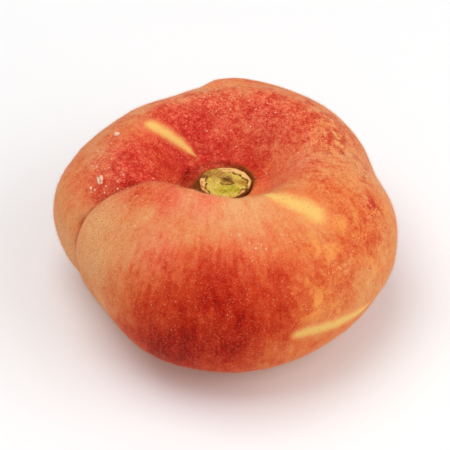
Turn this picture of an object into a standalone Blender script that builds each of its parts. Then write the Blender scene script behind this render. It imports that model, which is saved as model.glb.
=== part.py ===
"""A whole flat peach, picked, lying on its blossom end, with the stub of its stalk in the stem cavity.

Two pieces: the fruit, one solid of flesh and skin, and the stub. The fruit is a flattened ball whose points
are moved by a few rules: swellings of the outline, the stem cavity, the fold that runs from the cavity over
the left side, a small lobe behind, the blossom dimple and the low flats that it lies on. Metres, +Z up. The
stem's axis is upright, +X is right, and the full front lobe faces -Y. The origin is on the surface that the
fruit lies on, under the middle of its box.
"""

import bmesh
import bpy
import numpy as np

MM = 0.001

# Plain body, a ball flattened along the stem's axis. Roundness 2 is an ellipsoid, and more is boxier.
HALF_WIDTH = 36.3 * MM
HALF_DEPTH = 35.3 * MM
TOP_RISE = 21.5 * MM
LOW_DROP = 21.0 * MM
ROUNDNESS = 2.25

# Swellings of the outline: direction in degrees from +X, share of the radius, reach in degrees
SWELLINGS = (
    (18.0, -0.052, 13.0),
    (112.0, -0.098, 22.0),
    (138.0, -0.030, 16.0),
    (172.0, 0.032, 12.0),
    (212.0, -0.070, 20.0),
    (280.0, 0.018, 25.0),
    (348.0, 0.018, 12.0),
)
CHEEK_TUCK = (214.0, -0.050, 22.0)

# Stem cavity: a round floor, a steep wall in front and a long slope behind
CAVITY_DEPTH = 10.7 * MM
CAVITY_FLOOR_RADIUS = 5.2 * MM
CAVITY_SLOPE_BEHIND = 11.5 * MM
CAVITY_SLOPE_FRONT = 3.7 * MM
SHOULDER_RISE = 2.3 * MM
SHOULDER_RADIUS = 22.0 * MM
SHOULDER_WIDTH = 9.0 * MM

# Shallow hollow from the cavity to the right side, where the fold runs out
HOLLOW_AZIMUTH = 18.0
HOLLOW_REACH = 16.0
HOLLOW_DEPTH = 1.3 * MM

# Fold: the front lobe rolls over the back lobe along it
FOLD_AZIMUTH = 196.5
FOLD_BEND = -2.5
FOLD_BEND_POLAR = 50.0
FOLD_BEND_REACH = 20.0
FOLD_DEPTH = 5.2 * MM
FOLD_ROUNDING = 7.0 * MM
FOLD_FAR_SLOPE = 9.0 * MM
FOLD_LEAN = 3.2 * MM
FOLD_LIP = 0.22

# Small lobe at the back, below a furrow
LOBE_START, LOBE_FULL = 104.0, 93.0
LOBE_END, LOBE_FADE = 60.0, 90.0
LOBE_LEVEL, LOBE_SPREAD = 0.40, 0.22
LOBE_RISE = 1.6 * MM
FURROW_LEVEL, FURROW_SPREAD = 0.66, 0.08
FURROW_DEPTH = 2.3 * MM

# Blossom end: a dimple, and the depth to which the low places are flat
DIMPLE_DEPTH = 4.5 * MM
DIMPLE_RADIUS = 9.0 * MM
SEAT_DEPTH = 0.35 * MM

# Grid of the skin: points round the stem's axis, points down from the stem, and their crowding at the fold
TURNS = 84
RINGS = 42
CROWDING = 0.68

# Stub of the stalk: its outline is an ellipse, and its side profile has (share of the radius, height)
STUB_HALF_WIDTH = 5.6 * MM
STUB_HALF_DEPTH = 4.8 * MM
STUB_CLEARANCE = 0.6 * MM
STUB_PROFILE = (
    (0.00, 2.3 * MM),
    (0.45, 2.2 * MM),
    (0.80, 1.9 * MM),
    (0.97, 1.5 * MM),
    (1.00, 1.1 * MM),
    (0.64, 0.0 * MM),
    (0.00, 0.0 * MM),
)
STUB_STEPS = 32

SKIN_COLOUR = (0.62, 0.13, 0.06, 1.0)
SKIN_ROUGHNESS = 0.6
STUB_COLOUR = (0.36, 0.30, 0.05, 1.0)
STUB_ROUGHNESS = 0.7


def smooth(low, high, value):
    """0 below low, 1 above high, and an S curve between them."""
    share = np.clip((value - low) / (high - low), 0.0, 1.0)
    return share * share * (3.0 - 2.0 * share)


def bump(value, centre, width):
    """1 at the centre, fading like a bell curve."""
    return np.exp(-(((value - centre) / width) ** 2))


def turn_bump(azimuth, centre, width):
    """A bump by direction, in degrees, that joins up after a full turn."""
    return bump((azimuth - centre + 180.0) % 360.0 - 180.0, 0.0, width)


def fold_azimuth(polar):
    """Direction of the fold, in degrees, by the angle down from the stem."""
    return FOLD_AZIMUTH + FOLD_BEND * bump(polar, FOLD_BEND_POLAR, FOLD_BEND_REACH)


def plan_radius(azimuth, level):
    """Radius of the outline by direction, with the cheek beside the fold tucked in below the middle."""
    turn = np.radians(azimuth)
    plain = 1.0 / np.hypot(np.cos(turn) / HALF_WIDTH, np.sin(turn) / HALF_DEPTH)
    change = sum(share * turn_bump(azimuth, centre, reach) for centre, share, reach in SWELLINGS)
    centre, share, reach = CHEEK_TUCK
    change = change + share * turn_bump(azimuth, centre, reach) * smooth(0.5, -0.3, level)
    return plain * (1.0 + change)


def cavity_height(radius, azimuth):
    """How far the upper side is moved up or down by the stem cavity, its back shoulder and the right hollow."""
    front = (0.5 - 0.5 * np.sin(np.radians(azimuth))) ** 1.5
    slope = CAVITY_SLOPE_BEHIND + (CAVITY_SLOPE_FRONT - CAVITY_SLOPE_BEHIND) * front
    sink = CAVITY_DEPTH * bump(np.maximum(radius, CAVITY_FLOOR_RADIUS), CAVITY_FLOOR_RADIUS, slope)
    behind = smooth(-0.4, 0.8, np.sin(np.radians(azimuth)))
    shoulder = SHOULDER_RISE * behind * bump(radius, SHOULDER_RADIUS, SHOULDER_WIDTH)
    hollow = HOLLOW_DEPTH * turn_bump(azimuth, HOLLOW_AZIMUTH, HOLLOW_REACH)
    hollow = hollow * smooth(0.15 * HALF_WIDTH, 0.5 * HALF_WIDTH, radius)
    return shoulder - sink - hollow


def back_lobe(azimuth, level):
    """How far the skin swells or sinks at the small lobe behind and its furrow."""
    turn = azimuth % 360.0
    along = smooth(LOBE_START, LOBE_FULL, turn) * smooth(LOBE_END, LOBE_FADE, turn)
    swell = LOBE_RISE * bump(level, LOBE_LEVEL, LOBE_SPREAD)
    furrow = FURROW_DEPTH * bump(level, FURROW_LEVEL, FURROW_SPREAD)
    return along * (swell - furrow)


def fold_reach(polar, radius):
    """Strength of the fold: it starts beside the stalk, is full on top and runs out below."""
    start = smooth(1.5 * MM, 8.0 * MM, radius)
    return start * (1.0 - 0.45 * smooth(40.0, 80.0, polar) - 0.42 * smooth(85.0, 140.0, polar))


def fold_wall(across):
    """Height of the front lobe's rounded edge: 0 at the fold, and 1 from one rounding away."""
    left = 1.0 - np.clip(across / FOLD_ROUNDING, 0.0, 1.0)
    return np.sqrt(1.0 - left * left)


def fold_sink(across):
    """Shape across the fold: a steep round edge with a lip on the near side, a long slope on the far side."""
    lip = FOLD_LIP * (
        bump(across, 1.3 * FOLD_ROUNDING, FOLD_ROUNDING)
        - bump(0.0, 1.3 * FOLD_ROUNDING, FOLD_ROUNDING) * np.exp(-np.abs(across) / (0.3 * FOLD_ROUNDING))
    )
    near = fold_wall(across) - 1.0 + lip
    far = -np.exp(np.minimum(across, 0.0) / FOLD_FAR_SLOPE)
    return np.where(across >= 0.0, near, far)


def fruit_points(polar, past_fold):
    """Points of the skin, from the angle down from the stem and the angle past the fold, both in degrees."""
    azimuth = fold_azimuth(polar) + past_fold
    turn, tilt = np.radians(azimuth), np.radians(polar)
    across_share = np.sin(tilt) ** (2.0 / ROUNDNESS)
    level = np.sign(np.cos(tilt)) * np.abs(np.cos(tilt)) ** (2.0 / ROUNDNESS)
    upper = level > 0.0

    radius = plan_radius(azimuth, level) * across_share
    height = np.where(upper, TOP_RISE, LOW_DROP) * level
    height = height + np.where(upper, cavity_height(radius, azimuth) * smooth(0.0, 0.4, level), 0.0)
    height = height + np.where(upper, 0.0, DIMPLE_DEPTH * bump(radius, 0.0, DIMPLE_RADIUS))

    out = across_share ** (ROUNDNESS - 1.0) / HALF_WIDTH
    up = np.sign(level) * np.abs(level) ** (ROUNDNESS - 1.0) / TOP_RISE
    out, up = out / np.hypot(out, up), up / np.hypot(out, up)

    across = np.radians((past_fold + 180.0) % 360.0 - 180.0) * radius
    reach = fold_reach(polar, radius)
    push = FOLD_DEPTH * reach * fold_sink(across) + back_lobe(azimuth, level)
    lean = FOLD_LEAN * reach * fold_wall(across) * bump(across, 0.0, 2.2 * FOLD_ROUNDING)
    lean = np.where(across > 0.0, lean * smooth(95.0, 60.0, polar), 0.0)

    x = np.cos(turn) * (radius + out * push) + np.sin(turn) * lean
    y = np.sin(turn) * (radius + out * push) - np.cos(turn) * lean
    return np.stack([x, y, height + up * push], axis=-1)


def seated(points):
    """The points moved so that their box stands over the origin, with the low places flat on z = 0."""
    low, high = points.min(axis=0), points.max(axis=0)
    middle = (low + high) / 2.0
    move = np.array([-middle[0], -middle[1], -low[2] - SEAT_DEPTH])
    points = points + move
    points[:, 2] = np.maximum(points[:, 2], 0.0)
    return points, move


def material(name, colour, roughness):
    made = bpy.data.materials.new(name)
    made.use_nodes = True
    shader = made.node_tree.nodes["Principled BSDF"]
    shader.inputs["Base Color"].default_value = colour
    shader.inputs["Roughness"].default_value = roughness
    return made


def add_object(name, bm, made_of):
    """Puts the bmesh in the scene as one smooth object of one material."""
    mesh = bpy.data.meshes.new(name)
    bm.to_mesh(mesh)
    bm.free()
    mesh.shade_smooth()
    mesh.materials.append(made_of)
    obj = bpy.data.objects.new(name, mesh)
    bpy.context.scene.collection.objects.link(obj)
    return obj


def make_fruit():
    """The fruit, from a ball whose points are moved to the skin's. Returns how far the stem's axis was moved."""
    bm = bmesh.new()
    bmesh.ops.create_uvsphere(bm, u_segments=TURNS, v_segments=RINGS, radius=1.0)
    ball = np.array([vertex.co for vertex in bm.verts])
    polar = np.degrees(np.arccos(np.clip(ball[:, 2], -1.0, 1.0)))
    share = np.arctan2(ball[:, 1], ball[:, 0]) / (2.0 * np.pi)
    past_fold = 360.0 * (share - CROWDING * np.sin(2.0 * np.pi * share) / (2.0 * np.pi))
    points, move = seated(fruit_points(polar, past_fold % 360.0))
    for vertex, point in zip(bm.verts, points):
        vertex.co = point
    add_object("fruit", bm, material("peach_skin", SKIN_COLOUR, SKIN_ROUGHNESS))
    return move


def make_stub(move):
    """The stub of the stalk, a low turned button just clear of the cavity's floor."""
    bm = bmesh.new()
    profile = [bm.verts.new((share, 0.0, height)) for share, height in STUB_PROFILE]
    edges = [bm.edges.new(pair) for pair in zip(profile, profile[1:])]
    bmesh.ops.spin(
        bm,
        geom=profile + edges,
        cent=(0.0, 0.0, 0.0),
        axis=(0.0, 0.0, 1.0),
        angle=2.0 * np.pi,
        steps=STUB_STEPS,
    )
    bmesh.ops.remove_doubles(bm, verts=bm.verts, dist=1e-6)
    bmesh.ops.scale(bm, vec=(STUB_HALF_WIDTH, STUB_HALF_DEPTH, 1.0), verts=bm.verts)
    bmesh.ops.recalc_face_normals(bm, faces=bm.faces)
    stub = add_object("stem_stub", bm, material("stalk", STUB_COLOUR, STUB_ROUGHNESS))
    stub.location = (move[0], move[1], TOP_RISE - CAVITY_DEPTH + move[2] + STUB_CLEARANCE)


def main():
    for obj in list(bpy.data.objects):
        bpy.data.objects.remove(obj)
    make_stub(make_fruit())


main()
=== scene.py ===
"""Looks of a whole flat peach: fine skin with its blush, down and dew, and the torn stub of the stalk.

The skin repeats the rules and values of the CAD fruit on a finer grid, so it lies on the CAD surface.
Lengths are in metres, +Z is up, +X right, and the full front lobe faces -Y. A place on the skin is given by
its direction from +X and by its angle down from the stem, both in degrees.
"""

import bpy
import numpy as np
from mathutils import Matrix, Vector


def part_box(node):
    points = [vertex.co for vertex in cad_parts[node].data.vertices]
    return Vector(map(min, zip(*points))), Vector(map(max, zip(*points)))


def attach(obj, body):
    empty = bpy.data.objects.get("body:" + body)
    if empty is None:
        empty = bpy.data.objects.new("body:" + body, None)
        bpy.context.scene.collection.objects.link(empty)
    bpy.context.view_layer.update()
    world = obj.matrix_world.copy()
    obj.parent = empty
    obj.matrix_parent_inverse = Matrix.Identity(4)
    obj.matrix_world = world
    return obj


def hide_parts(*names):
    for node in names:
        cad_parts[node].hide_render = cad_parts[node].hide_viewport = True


MM = 0.001

# Form of the fruit, as in the CAD source
HALF_WIDTH = 36.3 * MM
HALF_DEPTH = 35.3 * MM
TOP_RISE = 21.5 * MM
LOW_DROP = 21.0 * MM
ROUNDNESS = 2.25
SWELLINGS = (
    (18.0, -0.052, 13.0),
    (112.0, -0.098, 22.0),
    (138.0, -0.030, 16.0),
    (172.0, 0.032, 12.0),
    (212.0, -0.070, 20.0),
    (280.0, 0.018, 25.0),
    (348.0, 0.018, 12.0),
)
CHEEK_TUCK = (214.0, -0.050, 22.0)
CAVITY_DEPTH = 10.7 * MM
CAVITY_FLOOR_RADIUS = 5.2 * MM
CAVITY_SLOPE_BEHIND = 11.5 * MM
CAVITY_SLOPE_FRONT = 3.7 * MM
SHOULDER_RISE = 2.3 * MM
SHOULDER_RADIUS = 22.0 * MM
SHOULDER_WIDTH = 9.0 * MM
HOLLOW_AZIMUTH = 18.0
HOLLOW_REACH = 16.0
HOLLOW_DEPTH = 1.3 * MM
FOLD_AZIMUTH = 196.5
FOLD_BEND = -2.5
FOLD_BEND_POLAR = 50.0
FOLD_BEND_REACH = 20.0
FOLD_DEPTH = 5.2 * MM
FOLD_ROUNDING = 7.0 * MM
FOLD_FAR_SLOPE = 9.0 * MM
FOLD_LEAN = 3.2 * MM
FOLD_LIP = 0.22
LOBE_START, LOBE_FULL = 104.0, 93.0
LOBE_END, LOBE_FADE = 60.0, 90.0
LOBE_LEVEL, LOBE_SPREAD = 0.40, 0.22
LOBE_RISE = 1.6 * MM
FURROW_LEVEL, FURROW_SPREAD = 0.66, 0.08
FURROW_DEPTH = 2.3 * MM
DIMPLE_DEPTH = 4.5 * MM
DIMPLE_RADIUS = 9.0 * MM
SEAT_DEPTH = 0.35 * MM
CROWDING = 0.68
CAD_TURNS, CAD_RINGS = 84, 42
SKIN_TURNS, SKIN_RINGS = 420, 228

# Low relief of the skin: wavelength and height of each set of ripples
RIPPLES = ((11.0 * MM, 0.10 * MM), (4.5 * MM, 0.045 * MM), (2.0 * MM, 0.018 * MM))
# Puckers and raised ring of skin round the stub, and the notch in the fold
PUCKER_RADIUS, PUCKER_WIDTH = 8.5 * MM, 3.0 * MM
PUCKER_HEIGHT = 0.16 * MM
RING_LEVEL, RING_SHARE, RING_WIDTH = 1.00 * MM, 1.10, 0.60
NOTCH_PLACE = (192.5, 68.0)
NOTCH_DEPTH, NOTCH_RADIUS = 1.3 * MM, 1.5 * MM

# Dark red painted shade in the fold: its place across, its widths, and the angles where it widens, starts
# and ends
FOLD_SHADE_ACROSS, FOLD_SHADE_WIDTH, FOLD_SHADE_TOP_WIDTH = -0.6 * MM, 1.3 * MM, 2.8 * MM
FOLD_SHADE_WIDENS, FOLD_SHADE_STARTS, FOLD_SHADE_ENDS = (66.0, 44.0), (10.0, 18.0), (130.0, 104.0)
# Darker painted shade in the notch of the fold: its strength and its reach
NOTCH_SHADE, NOTCH_SHADE_RADIUS = 1.2, 0.8 * NOTCH_RADIUS

# Brown painted shade in the cavity beside the stub, whose outline is a disc of radius 1, and the brown scar
# of the blossom
STUB_SHADE_CENTRE, STUB_SHADE_EDGES, STUB_SHADE_AMOUNT = (-0.07, 0.34), (1.38, 1.08), 0.90
STUB_SHADE_SPOT, STUB_SHADE_SPOT_REACH, STUB_SHADE_SPOT_AMOUNT = (-1.13, -0.12), 0.26, 1.15
STUB_SHADE_REACH_BELOW = 4.0 * MM
BLOSSOM_EDGES = (3.2 * MM, 0.8 * MM)

# Blush, laid on in this order: direction, angle from the stem, reach, red from 0 to 1, strength
BLUSH_START = 0.36
BLUSH_RIPPLE, BLUSH_RIPPLE_SHARE = 17.0 * MM, 0.05
BLUSH = (
    # back and right side, at and below the middle, and underside
    (60.0, 95.0, 24.0 * MM, 0.46, 0.9),
    (130.0, 100.0, 20.0 * MM, 0.30, 0.9),
    (20.0, 110.0, 18.0 * MM, 0.62, 0.7),
    (250.0, 180.0, 24.0 * MM, 0.12, 0.9),
    (76.0, 74.0, 9.0 * MM, 0.70, 0.8),
    (112.0, 88.0, 8.0 * MM, 0.20, 0.7),
    (150.0, 86.0, 7.0 * MM, 0.56, 0.7),
    # rear lobe
    (110.0, 24.0, 15.0 * MM, 0.70, 0.9),
    (60.0, 24.0, 11.0 * MM, 0.70, 0.8),
    (170.0, 28.0, 10.0 * MM, 0.64, 0.9),
    (113.0, 29.0, 6.0 * MM, 0.90, 0.6),
    (80.0, 17.0, 7.0 * MM, 0.72, 0.8),
    (183.0, 30.0, 5.0 * MM, 0.78, 0.7),
    (162.0, 19.0, 5.0 * MM, 0.82, 0.8),
    (36.0, 29.0, 6.0 * MM, 0.80, 0.6),
    (188.0, 25.0, 5.0 * MM, 0.84, 0.8),
    (189.0, 38.0, 4.5 * MM, 0.72, 0.8),
    (190.0, 51.0, 3.5 * MM, 0.56, 0.7),
    # its rims
    (141.0, 41.0, 6.0 * MM, 0.26, 0.9),
    (120.0, 43.0, 5.5 * MM, 0.36, 0.8),
    (94.0, 48.0, 8.0 * MM, 0.18, 0.9),
    (63.0, 49.0, 7.0 * MM, 0.36, 0.8),
    (172.0, 56.0, 7.0 * MM, 0.50, 0.9),
    (179.0, 72.0, 8.0 * MM, 0.34, 0.9),
    (187.0, 92.0, 9.0 * MM, 0.18, 0.9),
    # right side
    (42.0, 48.0, 8.0 * MM, 0.34, 0.9),
    (21.0, 49.0, 8.0 * MM, 0.54, 0.9),
    (4.0, 54.0, 8.0 * MM, 0.14, 0.9),
    (10.0, 32.0, 7.0 * MM, 0.36, 0.9),
    (4.0, 19.0, 6.0 * MM, 0.46, 0.8),
    (348.0, 60.0, 7.0 * MM, 0.54, 0.9),
    (333.0, 59.0, 5.0 * MM, 0.58, 0.9),
    (350.0, 84.0, 10.0 * MM, 0.20, 0.9),
    (318.0, 68.0, 5.5 * MM, 0.40, 0.8),
    (326.0, 90.0, 10.0 * MM, 0.14, 0.9),
    (303.0, 92.0, 8.0 * MM, 0.38, 0.8),
    # crest of the front lobe
    (280.0, 24.0, 10.0 * MM, 0.10, 0.95),
    (314.0, 42.0, 8.0 * MM, 0.34, 0.9),
    (226.0, 40.0, 8.0 * MM, 0.26, 0.9),
    (230.0, 26.0, 4.5 * MM, 0.60, 0.8),
    (248.0, 20.0, 5.0 * MM, 0.30, 0.8),
    # its left cheek
    (208.0, 54.0, 9.0 * MM, 0.14, 0.95),
    (215.0, 70.0, 10.0 * MM, 0.15, 0.95),
    (217.0, 92.0, 10.0 * MM, 0.20, 0.95),
    # this one, low on the cheek, is deeper red partly as painted shade towards the underside
    (232.0, 110.0, 11.0 * MM, 0.56, 0.9),
    # red patch in front
    (276.0, 40.0, 6.0 * MM, 0.34, 0.8),
    (266.0, 52.0, 7.0 * MM, 0.76, 0.95),
    (264.0, 62.0, 8.0 * MM, 0.94, 0.9),
    (251.0, 60.0, 6.0 * MM, 0.74, 0.8),
    (290.0, 58.0, 7.0 * MM, 0.78, 0.9),
    (256.0, 80.0, 8.5 * MM, 0.88, 0.9),
    (243.0, 82.0, 6.0 * MM, 0.70, 0.9),
    (285.0, 72.0, 8.0 * MM, 0.80, 0.8),
    # its lower rim, deeper red towards the underside: partly the blush and partly painted shade
    (272.0, 90.0, 8.0 * MM, 1.00, 0.9),
    (250.0, 98.0, 8.0 * MM, 1.02, 0.9),
    (232.0, 100.0, 5.0 * MM, 0.66, 0.8),
    (268.0, 106.0, 9.0 * MM, 0.84, 0.85),
    (290.0, 103.0, 8.0 * MM, 0.42, 0.8),
    (299.0, 66.0, 4.5 * MM, 0.66, 0.8),
    # single places: towards the underside, where the deep red is partly painted shade, beside the stalk,
    # along the fold and on the pale front crest
    (250.0, 106.0, 7.0 * MM, 0.96, 0.8),
    (42.0, 11.0, 3.5 * MM, 0.84, 0.8),
    (232.0, 66.0, 5.5 * MM, 0.50, 0.8),
    (213.0, 35.0, 4.0 * MM, 0.58, 0.9),
    (200.0, 42.0, 3.5 * MM, 0.48, 0.8),
    (246.0, 24.0, 4.0 * MM, 0.46, 0.7),
    (247.0, 51.0, 3.5 * MM, 0.44, 0.8),
    (128.0, 33.0, 4.5 * MM, 0.72, 0.7),
    (180.0, 46.0, 3.0 * MM, 0.60, 0.7),
    (317.0, 70.0, 5.0 * MM, 0.26, 0.8),
    (283.0, 23.0, 5.5 * MM, 0.04, 0.8),
    # smaller patches of the front
    (231.0, 81.0, 4.0 * MM, 0.62, 0.6),
    (244.0, 72.0, 3.5 * MM, 0.60, 0.5),
    (269.0, 73.0, 4.0 * MM, 0.70, 0.6),
    (273.0, 45.0, 3.5 * MM, 0.58, 0.6),
    (289.0, 39.0, 3.0 * MM, 0.38, 0.5),
    (289.0, 69.0, 3.0 * MM, 0.68, 0.5),
    (305.0, 57.0, 3.5 * MM, 0.36, 0.5),
    (311.0, 47.0, 3.0 * MM, 0.48, 0.6),
    (314.0, 56.0, 3.0 * MM, 0.46, 0.6),
    (330.0, 59.0, 4.0 * MM, 0.66, 0.8),
    (325.0, 93.0, 6.0 * MM, 0.32, 0.7),
    (346.0, 46.0, 4.5 * MM, 0.30, 0.6),
    (320.0, 42.0, 3.0 * MM, 0.24, 0.6),
    (247.0, 20.0, 3.0 * MM, 0.16, 0.6),
    # smaller patches of the rear lobe
    (127.0, 24.0, 3.0 * MM, 0.62, 0.6),
    (65.0, 17.0, 3.2 * MM, 0.58, 0.6),
    (163.0, 48.0, 3.5 * MM, 0.38, 0.6),
    (172.0, 28.0, 3.0 * MM, 0.64, 0.5),
    (8.0, 23.0, 4.0 * MM, 0.28, 0.6),
    (22.0, 14.0, 3.5 * MM, 0.52, 0.6),
    (187.0, 33.0, 3.5 * MM, 0.86, 0.6),
    (189.0, 47.0, 3.0 * MM, 0.74, 0.7),
    (150.0, 14.0, 2.6 * MM, 0.98, 0.9),
)

# Blush colours by its level, on the warm front and on the pinker rear
WARM_BLUSH = (
    (0.00, (226, 164, 106)),
    (0.22, (224, 142, 84)),
    (0.45, (219, 106, 54)),
    (0.68, (200, 62, 28)),
    (0.90, (175, 28, 8)),
    (1.00, (146, 12, 2)),
)
PINK_BLUSH = (
    (0.00, (232, 170, 122)),
    (0.22, (230, 142, 102)),
    (0.45, (230, 106, 78)),
    (0.68, (210, 60, 48)),
    (0.90, (178, 24, 18)),
    (1.00, (144, 12, 10)),
)

# Pinker skin: direction, angle from the stem, reach, amount
PINK = (
    (110.0, 26.0, 16.0 * MM, 1.0),
    (60.0, 26.0, 12.0 * MM, 0.9),
    (176.0, 34.0, 11.0 * MM, 0.9),
    (5.0, 17.0, 7.0 * MM, 0.7),
    (235.0, 24.0, 6.0 * MM, 0.8),
    (258.0, 21.0, 5.0 * MM, 0.9),
    (238.0, 44.0, 6.0 * MM, 0.7),
    (8.0, 24.0, 5.0 * MM, 0.9),
    (280.0, 30.0, 10.0 * MM, 0.4),
)

# Yellow in the ground colour: direction, angle from the stem, reach, amount
GOLD = (
    (331.0, 48.0, 5.0 * MM, 0.7),
    (316.0, 51.0, 4.0 * MM, 1.0),
    (302.0, 61.0, 2.5 * MM, 0.6),
    (303.0, 74.0, 4.5 * MM, 1.0),
    (308.0, 84.0, 5.0 * MM, 0.8),
    (330.0, 84.0, 6.0 * MM, 0.6),
    (352.0, 62.0, 6.0 * MM, 0.5),
    (21.0, 50.0, 8.0 * MM, 0.5),
    (128.0, 14.0, 3.5 * MM, 0.5),
    (160.0, 11.0, 2.5 * MM, 0.4),
    (150.0, 40.0, 5.0 * MM, 0.5),
    (100.0, 110.0, 15.0 * MM, 0.5),
    (0.0, 180.0, 20.0 * MM, 0.6),
)

# Dull tan ground: direction, angle from the stem, reach, amount
TAN = (
    (208.0, 56.0, 8.0 * MM, 0.9),
    (214.0, 74.0, 9.0 * MM, 0.9),
    (217.0, 92.0, 7.0 * MM, 0.7),
    # these two at the left rim are partly tan ground and partly painted sheen: the pale line of the down
    # along that rim
    (186.0, 94.0, 8.0 * MM, 0.8),
    (168.0, 84.0, 6.0 * MM, 0.8),
    (165.0, 51.0, 5.0 * MM, 0.8),
    (152.0, 52.0, 4.0 * MM, 0.8),
    (132.0, 52.0, 4.0 * MM, 0.7),
    (104.0, 52.0, 6.0 * MM, 0.7),
    (30.0, 55.0, 12.0 * MM, 0.8),
    (5.0, 61.0, 7.0 * MM, 0.6),
    (80.0, 60.0, 9.0 * MM, 0.6),
    (255.0, 108.0, 12.0 * MM, 0.5),
)

# Red blots and flecks: direction, angle from the stem, reach, amount
FLECKS = (
    (40.0, 46.0, 9.0 * MM, 1.0),
    (62.0, 38.0, 8.0 * MM, 0.8),
    (22.0, 44.0, 8.0 * MM, 1.1),
    (8.0, 54.0, 6.5 * MM, 0.8),
    (348.0, 57.0, 3.2 * MM, 1.3),
    (338.0, 60.0, 7.0 * MM, 0.6),
    (318.0, 64.0, 6.0 * MM, 0.5),
    (8.0, 35.0, 7.0 * MM, 0.7),
    (352.0, 32.0, 6.0 * MM, 0.5),
    (105.0, 30.0, 14.0 * MM, 0.9),
    (178.0, 32.0, 9.0 * MM, 0.9),
    (60.0, 24.0, 10.0 * MM, 0.8),
    (60.0, 95.0, 24.0 * MM, 0.6),
)

# Yellow pressure streaks: first, middle and last place, and half the width at both ends
STREAKS = (
    ((143.5, 35.5), (138.0, 26.3), (124.0, 16.6), 1.50 * MM, 0.70 * MM),
    ((309.0, 15.5), (321.5, 29.5), (324.5, 42.0), 1.30 * MM, 2.70 * MM),
    ((292.5, 86.5), (306.0, 89.5), (332.0, 99.5), 1.55 * MM, 1.15 * MM),
)
STREAK_POINTS = 48
STREAK_END_WIDTH, STREAK_WIDENING = 0.45, 2.2
STREAK_FADE, STREAK_FADE_SPAN = 0.9, (0.34, 0.5)
# How much slower the combed mottle changes down the skin than round it
FLOW_SLOWNESS = 0.22

# Stub of the stalk, as in the CAD source, and the finer marks of its torn end
STUB_HALF_WIDTH = 5.6 * MM
STUB_HALF_DEPTH = 4.8 * MM
STUB_RISE = 2.2 * MM
STUB_FOOT_SHARE = 0.64
STUB_SINK = 0.35 * MM
SCAR_TILT = 0.55 * MM
SCAR_TURNS, SCAR_RINGS = 200, 84
# Shares of the rows at which the top, the rounded rim and the side end
TOP_END, RIM_END, SIDE_END = 0.76, 0.82, 0.92
DOME_DROP, RIM_DROP = 0.35 * MM, 0.55 * MM
# Angles round the axis are in radians from +X
CRACK_SHARE, CRACK_SWAY, CRACK_TURN = 0.81, 0.15, 1.45
CRACK_DENT, CRACK_DENT_TURN, CRACK_DENT_REACH = 0.10, 3.4, 0.6
CRACK_WIDTH, CRACK_DEPTH = 0.042, 0.30 * MM
ROOTED_TURN, ROOTED_REACH = 2.2, 0.42
COLLAR_RISE, SPLIT_DEPTH = 0.20 * MM, 0.20 * MM
PIT_CENTRE = (0.08, -0.02)
PIT_SHARE, PIT_WIDTH, PIT_DEPTH = 0.18, 0.08, 0.30 * MM
RAY_HEIGHT = 0.06 * MM
CRUMPLES = ((1.9 * MM, 0.14 * MM), (0.8 * MM, 0.07 * MM))
# Strands of the torn end: their number, points along each, half width, taper, bow and depth of the root
FIBRES, FIBRE_STEPS = 30, 7
FIBRE_HALF_WIDTH, FIBRE_TAPER, FIBRE_BOW = 0.10 * MM, 0.85, 0.35 * MM
FIBRE_ROOT = 0.25 * MM

# Tones of the torn wood on a disc of radius 1: right, back, reach, tone from brown 0 to green 1, strength
WOOD_START = 0.60
WOOD_TONES = (
    (-0.20, 0.52, 0.34, 0.34, 0.9),
    (-0.62, 0.55, 0.26, 0.22, 0.9),
    (-0.76, 0.30, 0.14, 0.02, 0.8),
    (0.42, 0.36, 0.22, 0.64, 0.9),
    (-0.48, -0.28, 0.30, 0.60, 0.9),
    (-0.22, -0.45, 0.26, 0.74, 0.8),
    (0.10, -0.60, 0.30, 0.82, 0.8),
    (0.32, -0.30, 0.28, 0.97, 0.9),
    (0.66, -0.08, 0.26, 0.24, 0.9),
    (0.12, 0.06, 0.24, 0.22, 0.9),
)
# Brown spots of the wood on the same disc: right, back, reach, amount
WOOD_SPOTS = (
    (-0.78, 0.36, 0.15, 1.0),
    (0.80, -0.48, 0.09, 1.0),
    (0.46, -0.86, 0.06, 0.9),
    (0.55, 0.02, 0.14, 0.4),
    (0.06, 0.16, 0.24, 0.9),
    (-0.38, 0.92, 0.20, 0.6),
)
WOOD_COLOURS = (
    (0.00, (104, 60, 6)),
    (0.20, (146, 94, 14)),
    (0.40, (186, 138, 34)),
    (0.60, (220, 188, 88)),
    (0.78, (190, 168, 42)),
    (1.00, (152, 142, 14)),
)

# Down: hairs in each piece, their length, half width, lean, root, and least heights of foot and tip
DOWN_PIECES = 4
HAIRS_A_PIECE = 30000
HAIR_LENGTH = (0.30 * MM, 0.70 * MM)
HAIR_HALF_WIDTH = 0.006 * MM
HAIR_LEAN = (0.15, 0.75)
HAIR_ROOT = 0.03 * MM
HAIR_LOWEST_FOOT, HAIR_LOWEST_TIP = 0.10 * MM, 0.05 * MM

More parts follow.
